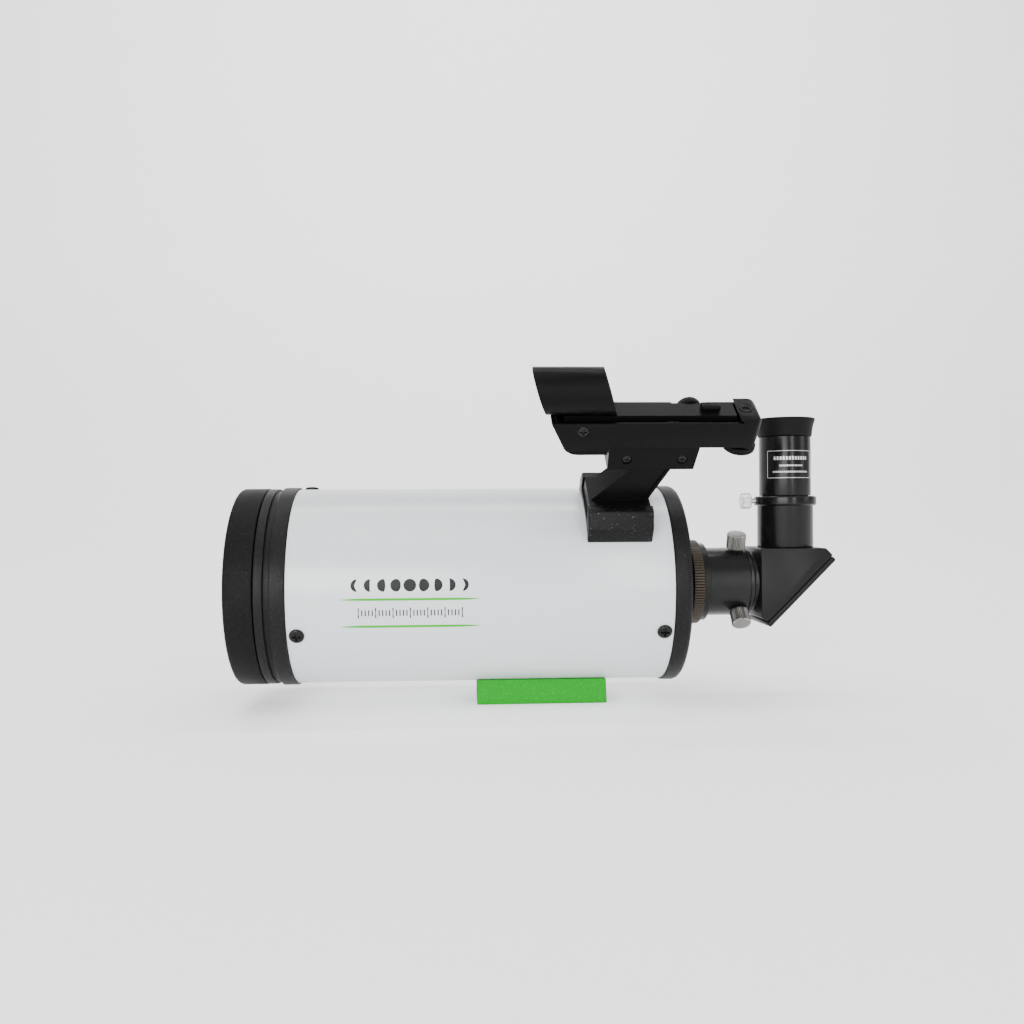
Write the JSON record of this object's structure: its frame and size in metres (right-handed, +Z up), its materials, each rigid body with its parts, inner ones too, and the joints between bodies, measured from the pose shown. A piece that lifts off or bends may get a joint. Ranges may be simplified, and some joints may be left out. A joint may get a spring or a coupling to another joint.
{
  "type": "compact telescope",
  "caption": "Short closed-tube telescope with dust cap, dovetail mounting bar, rear focuser, star diagonal, eyepiece and an adjustable red-dot finder on a leaning bracket.",
  "frame": {"origin": "the middle of the mounting bar's flat base", "axes": "+X along the optical axis towards the observer, +Z up from the bar through the tube, -Y towards the side that the finder leans to"},
  "size_m": [0.3743, 0.1638, 0.1999],
  "materials": {
    "main_tube": "smooth pale grey paint",
    "front_cell": "satin black",
    "rear_cell": "satin black",
    "corrector_lens": "coated optical glass",
    "corrector_retaining_ring": "black anodised",
    "corrector_gasket": "soft black ring",
    "secondary_mirror": "aluminised spot",
    "secondary_baffle": "matt black",
    "dust_cap": "moulded black",
    "primary_baffle": "matt black",
    "primary_mirror": "aluminised",
    "mirror_retaining_ring": "bare metal",
    "mirror_carrier": "bare metal",
    "focus_bush": "turned",
    "focus_knob": "ribbed black",
    "focus_shaft": "ground",
    "dovetail_bar": "grainy green anodised",
    "dovetail_screw_1": "turned",
    "dovetail_screw_2": "turned",
    "coupling_ring": "black anodised, knurled",
    "visual_back": "black anodised",
    "visual_back_screw_1": "knurled",
    "visual_back_screw_2": "knurled",
    "diagonal_housing": "fine grained black",
    "diagonal_mirror": "aluminised",
    "diagonal_cover": "fine grained black",
    "diagonal_nose": "polished",
    "eyepiece_holder": "black anodised",
    "eyepiece_lock_screw": "knurled",
    "eyepiece_barrel": "polished",
    "eyepiece_body": "black anodised",
    "eye_lens": "coated optical glass",
    "field_lens": "coated optical glass",
    "lens_spacer": "matt black",
    "eyecup": "soft matt black",
    "finder_shoe": "wrinkled black paint",
    "finder_shoe_screw_1": "blackened",
    "finder_shoe_screw_2": "blackened",
    "finder_lock_screw": "knurled",
    "finder_foot": "moulded black",
    "finder_clamp_jaw": "moulded black",
    "finder_clamp_screw_1": "blackened",
    "finder_clamp_screw_2": "blackened",
    "finder_base": "moulded black",
    "battery": "bare metal",
    "battery_cover": "moulded black",
    "finder_pivot_screw": "blackened",
    "altitude_beam": "moulded black",
    "altitude_wheel": "ribbed black",
    "finder_arm": "moulded black",
    "finder_window": "coated glass",
    "finder_lamp": "moulded black",
    "brightness_dial": "ribbed black",
    "azimuth_knob": "ribbed black",
    "front_ring_screw_1": "blackened",
    "rear_ring_screw_1": "blackened",
    "front_ring_screw_2": "blackened",
    "rear_ring_screw_2": "blackened",
    "front_ring_screw_3": "blackened",
    "rear_ring_screw_3": "blackened"
  },
  "bodies": {
    "optical_tube": {"main_tube": "main_tube", "front_cell": "front_cell", "corrector_lens": "corrector_lens", "corrector_retaining_ring": "corrector_retaining_ring", "corrector_gasket": "corrector_gasket", "secondary_mirror": "secondary_mirror", "secondary_baffle": "secondary_baffle", "front_ring_screw_1": "front_ring_screw_1", "front_ring_screw_2": "front_ring_screw_2", "front_ring_screw_3": "front_ring_screw_3", "rear_ring_screw_1": "rear_ring_screw_1", "rear_ring_screw_2": "rear_ring_screw_2", "rear_ring_screw_3": "rear_ring_screw_3", "rear_cell": "rear_cell", "primary_baffle": "primary_baffle", "focus_bush": "focus_bush", "dovetail_bar": "dovetail_bar", "dovetail_screw_1": "dovetail_screw_1", "dovetail_screw_2": "dovetail_screw_2", "visual_back": "visual_back", "finder_shoe": "finder_shoe", "finder_shoe_screw_1": "finder_shoe_screw_1", "finder_shoe_screw_2": "finder_shoe_screw_2"},
    "dust_cap": {"dust_cap": "dust_cap"},
    "focus_control": {"focus_knob": "focus_knob", "focus_shaft": "focus_shaft"},
    "mirror_unit": {"mirror_carrier": "mirror_carrier", "primary_mirror": "primary_mirror", "mirror_retaining_ring": "mirror_retaining_ring"},
    "coupling_ring": {"coupling_ring": "coupling_ring"},
    "visual_back_screw_1": {"visual_back_screw_1": "visual_back_screw_1"},
    "visual_back_screw_2": {"visual_back_screw_2": "visual_back_screw_2"},
    "diagonal": {"diagonal_nose": "diagonal_nose", "diagonal_housing": "diagonal_housing", "diagonal_mirror": "diagonal_mirror", "diagonal_cover": "diagonal_cover", "eyepiece_holder": "eyepiece_holder"},
    "eyepiece": {"eyepiece_barrel": "eyepiece_barrel", "eyepiece_body": "eyepiece_body", "field_lens": "field_lens", "eye_lens": "eye_lens", "lens_spacer": "lens_spacer", "eyecup": "eyecup"},
    "eyepiece_lock_screw": {"eyepiece_lock_screw": "eyepiece_lock_screw"},
    "finder_lock_screw": {"finder_lock_screw": "finder_lock_screw"},
    "finder_mount": {"finder_foot": "finder_foot", "finder_clamp_jaw": "finder_clamp_jaw", "finder_clamp_screw_1": "finder_clamp_screw_1", "finder_clamp_screw_2": "finder_clamp_screw_2"},
    "finder_body": {"finder_base": "finder_base", "battery": "battery", "finder_pivot_screw": "finder_pivot_screw"},
    "battery_cover": {"battery_cover": "battery_cover"},
    "altitude_beam": {"altitude_beam": "altitude_beam"},
    "altitude_wheel": {"altitude_wheel": "altitude_wheel"},
    "finder_sight": {"finder_arm": "finder_arm", "finder_window": "finder_window", "finder_lamp": "finder_lamp"},
    "azimuth_knob": {"azimuth_knob": "azimuth_knob"},
    "brightness_dial": {"brightness_dial": "brightness_dial"}
  },
  "joints": [
    {"name": "dust_cap_pull", "type": "slide", "parent": "optical_tube", "child": "dust_cap", "axis": [-1, 0, 0], "range_m": [0, 0.04]},
    {"name": "focus_knob_turn", "type": "hinge", "parent": "optical_tube", "child": "focus_control", "pos_m": [0.1, 0.039, 0.0735], "axis": [1, 0, 0], "range_deg": [-1810, 1810]},
    {"name": "mirror_focus", "type": "slide", "parent": "optical_tube", "child": "mirror_unit", "axis": [1, 0, 0], "range_m": [-0.005, 0.005]},
    {"name": "coupling_ring_turn", "type": "hinge", "parent": "optical_tube", "child": "coupling_ring", "pos_m": [0.1, 0, 0.0735], "axis": [1, 0, 0], "continuous": true},
    {"name": "visual_back_screw_1_turn", "type": "hinge", "parent": "optical_tube", "child": "visual_back_screw_1", "pos_m": [0.1263, 0, 0.0735], "axis": [0, -0.342, 0.9397], "range_deg": [0, 1080]},
    {"name": "visual_back_screw_2_turn", "type": "hinge", "parent": "optical_tube", "child": "visual_back_screw_2", "pos_m": [0.1263, 0, 0.0735], "axis": [0, -0.6428, -0.766], "range_deg": [0, 1080]},
    {"name": "diagonal_swivel", "type": "hinge", "parent": "optical_tube", "child": "diagonal", "pos_m": [0.12, 0, 0.0735], "axis": [1, 0, 0], "continuous": true},
    {"name": "eyepiece_pull", "type": "slide", "parent": "diagonal", "child": "eyepiece", "axis": [0, 0, 1], "range_m": [0, 0.03]},
    {"name": "eyepiece_lock_screw_turn", "type": "hinge", "parent": "diagonal", "child": "eyepiece_lock_screw", "pos_m": [0.135, 0, 0.12555], "axis": [-1, 0, 0], "range_deg": [0, 1080]},
    {"name": "finder_lock_screw_turn", "type": "hinge", "parent": "optical_tube", "child": "finder_lock_screw", "pos_m": [0.0479, -0.04236, 0.12771], "axis": [0, 0.788, 0.6157], "range_deg": [0, 1080]},
    {"name": "finder_foot_slide", "type": "slide", "parent": "optical_tube", "child": "finder_mount", "axis": [1, 0, 0], "range_m": [0, 0.036]},
    {"name": "finder_rail_slide", "type": "slide", "parent": "finder_mount", "child": "finder_body", "axis": [1, 0, 0], "range_m": [-0.012, 0.001]},
    {"name": "battery_cover_pull", "type": "slide", "parent": "finder_body", "child": "battery_cover", "axis": [0, 0.6157, -0.788], "range_m": [0, 0.015]},
    {"name": "altitude_wheel_turn", "type": "hinge", "parent": "finder_body", "child": "altitude_wheel", "pos_m": [0.1119, -0.06772, 0.16018], "axis": [0, -0.6157, 0.788], "range_deg": [-1200, 1200]},
    {"name": "finder_altitude", "type": "hinge", "parent": "finder_body", "child": "altitude_beam", "pos_m": [0.0189, -0.07622, 0.17106], "axis": [0, 0.788, 0.6157], "range_deg": [-1.5, 1.5]},
    {"name": "azimuth_knob_turn", "type": "hinge", "parent": "finder_body", "child": "azimuth_knob", "pos_m": [0.098, -0.07357, 0.16767], "axis": [0, 0.788, 0.6157], "range_deg": [-1400, 1400]},
    {"name": "finder_azimuth", "type": "hinge", "parent": "altitude_beam", "child": "finder_sight", "pos_m": [0.0189, -0.08004, 0.17594], "axis": [0, -0.6157, 0.788], "range_deg": [-1.5, 1.5]},
    {"name": "brightness_dial_turn", "type": "hinge", "parent": "finder_sight", "child": "brightness_dial", "pos_m": [0.0815, -0.07739, 0.17255], "axis": [0, 0.788, 0.6157], "range_deg": [0, 300]}
  ],
  "couplings": [
    {"joint": "focus_knob_turn", "follows": "mirror_focus", "rad_per_m": 6283.2},
    {"joint": "finder_altitude", "follows": "altitude_wheel_turn", "ratio": 0.0011979},
    {"joint": "finder_azimuth", "follows": "azimuth_knob_turn", "ratio": 0.001006}
  ]
}
